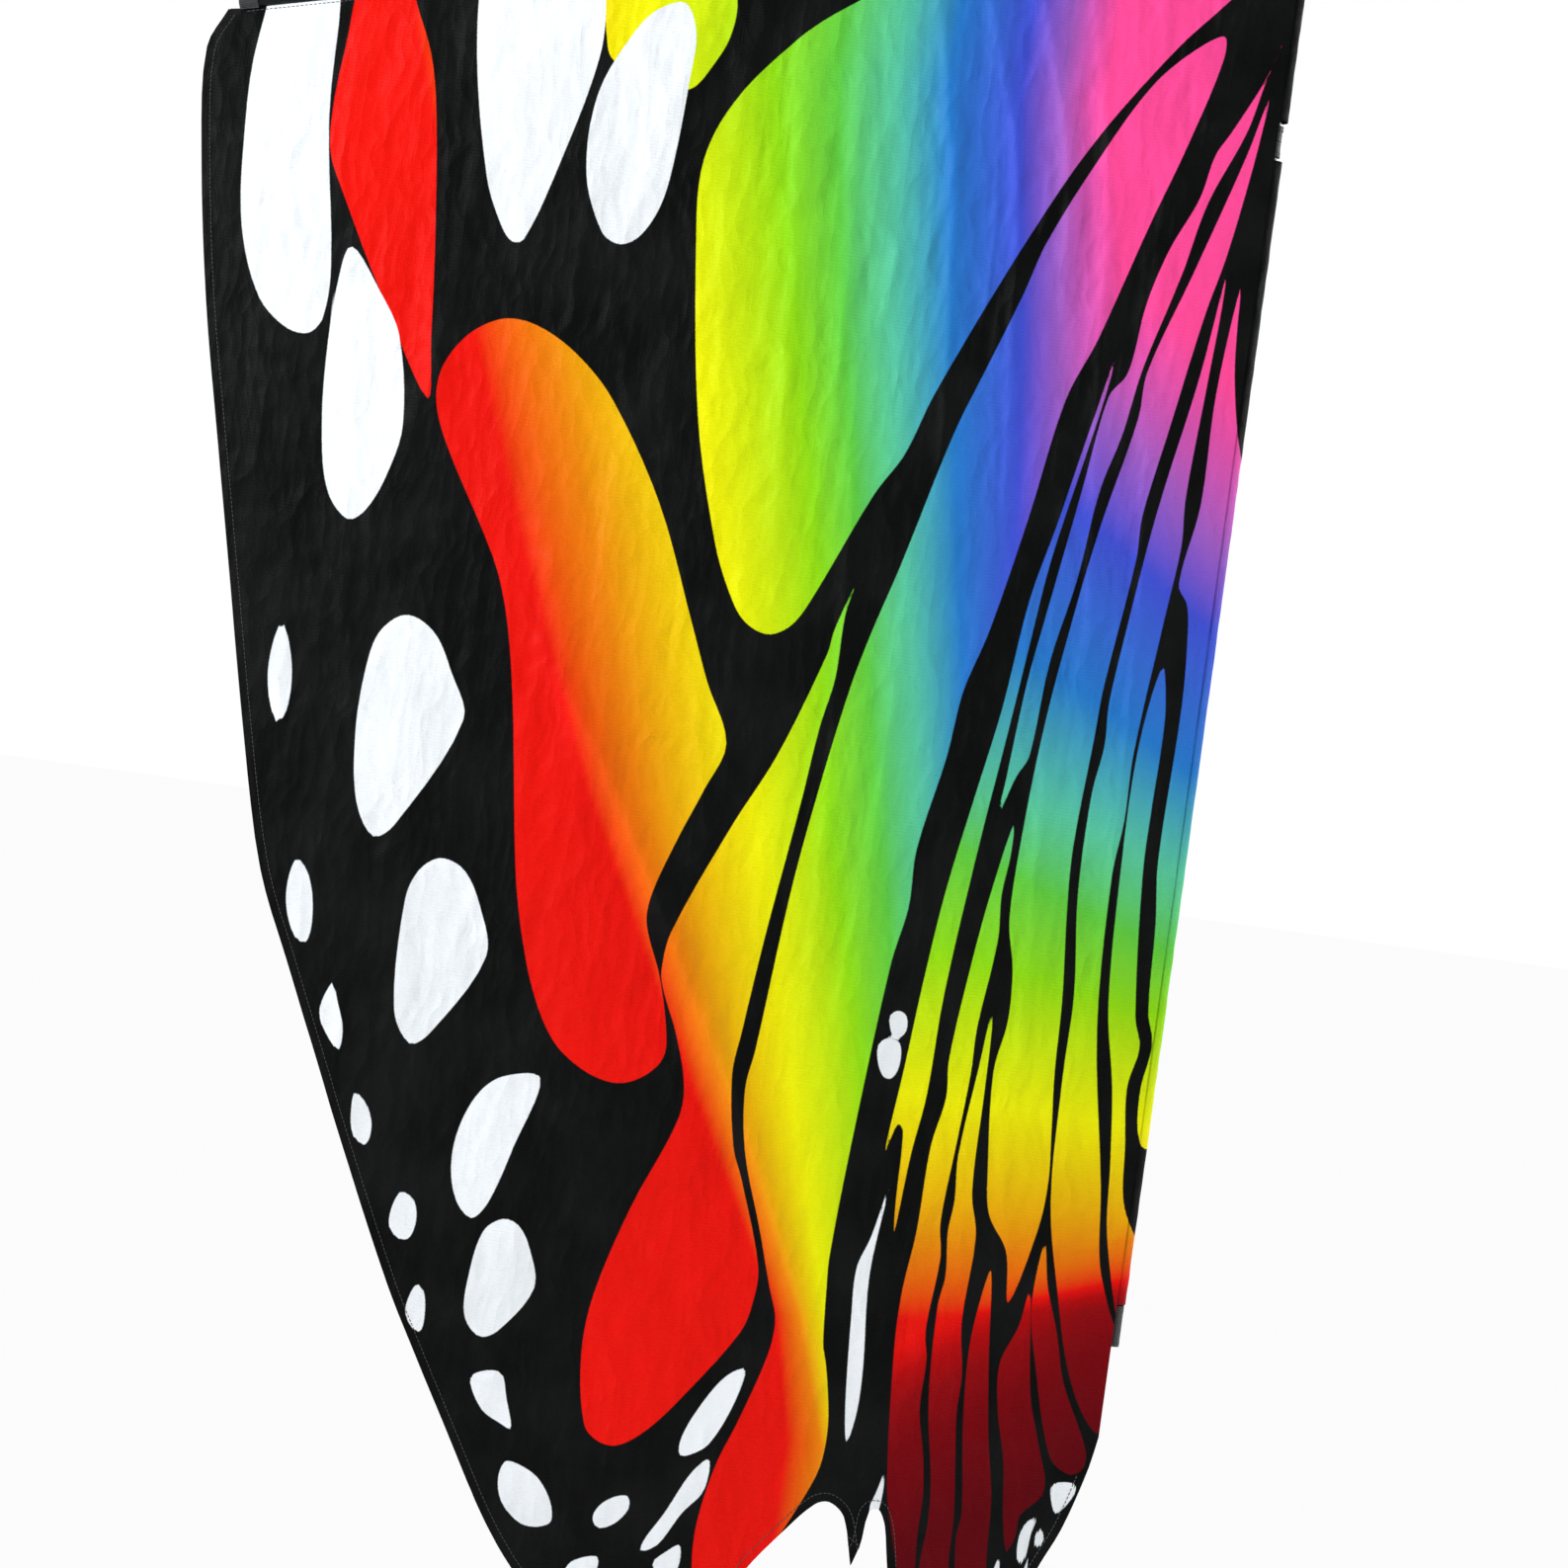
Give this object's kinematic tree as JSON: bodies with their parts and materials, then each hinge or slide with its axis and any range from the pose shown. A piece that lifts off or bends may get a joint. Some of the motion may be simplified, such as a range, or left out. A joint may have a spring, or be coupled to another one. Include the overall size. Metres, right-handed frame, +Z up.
{
  "type": "delta kite",
  "caption": "Butterfly delta kite folded along its spine: printed sails, tube frame, swinging spreaders, keel with tow eyelet.",
  "frame": {"origin": "inside top of the hanging loop, on the spine's axis", "axes": "+Z up along the spine towards the nose; the folded wings reach towards -X, the left wing on the -Y side and the right wing on the +Y side; the wings open to the YZ plane, with the keel on the -X side"},
  "size_m": [0.8767, 0.0284, 1.5197],
  "materials": {
    "printed_sail": "printed polyester taffeta, satin",
    "black_cloth": "black polyester taffeta, satin",
    "binding": "woven grosgrain tape",
    "webbing": "woven polyester webbing",
    "glass_fibre": "pultruded glass fibre tube, satin",
    "moulding": "moulded nylon, fine matt",
    "vinyl": "dipped vinyl, soft satin",
    "nickel": "nickel-plated brass"
  },
  "bodies": {
    "spine": {"spine_rod": "glass_fibre", "spine_top_cap": "vinyl", "spine_foot_cap": "vinyl", "spine_sleeve": "black_cloth", "nose_pocket": "webbing", "tail_pocket": "webbing", "hang_loop": "webbing", "nose_rivet": "nickel", "hinge_collars": "moulding", "keel_panel": "black_cloth", "keel_binding": "binding", "keel_patches": "webbing", "tow_eyelet": "nickel", "tow_washer": "nickel"},
    "left_wing": {"left_sail": "printed_sail", "left_hem": "black_cloth", "left_nose_patch": "webbing", "left_leading_sleeve": "black_cloth", "left_leading_spar": "glass_fibre", "left_spar_caps": "vinyl", "left_tip_pocket": "webbing", "left_spar_clip": "moulding", "left_knuckle": "moulding", "left_pivot_pin": "nickel"},
    "left_spreader": {"left_spreader_eye": "moulding", "left_spreader_rod": "glass_fibre", "left_spreader_tip": "vinyl"},
    "right_wing": {"right_sail": "printed_sail", "right_hem": "black_cloth", "right_nose_patch": "webbing", "right_leading_sleeve": "black_cloth", "right_leading_spar": "glass_fibre", "right_spar_caps": "vinyl", "right_tip_pocket": "webbing", "right_spar_clip": "moulding", "right_knuckle": "moulding", "right_pivot_pin": "nickel"},
    "right_spreader": {"right_spreader_eye": "moulding", "right_spreader_rod": "glass_fibre", "right_spreader_tip": "vinyl"}
  },
  "joints": [
    {"name": "left_wing_fold", "type": "hinge", "parent": "spine", "child": "left_wing", "pos_m": [0, 0, -0.226], "axis": [0, 0, 1], "range_deg": [0, 90]},
    {"name": "right_wing_fold", "type": "hinge", "parent": "spine", "child": "right_wing", "pos_m": [0, 0, -0.226], "axis": [0, 0, -1], "range_deg": [0, 90]},
    {"name": "left_spreader_swing", "type": "hinge", "parent": "left_wing", "child": "left_spreader", "pos_m": [-0.016, -0.005, -0.226], "axis": [0, 1, 0], "range_deg": [0, 93.22]},
    {"name": "right_spreader_swing", "type": "hinge", "parent": "right_wing", "child": "right_spreader", "pos_m": [-0.016, 0.005, -0.226], "axis": [0, 1, 0], "range_deg": [0, 93.22]}
  ]
}
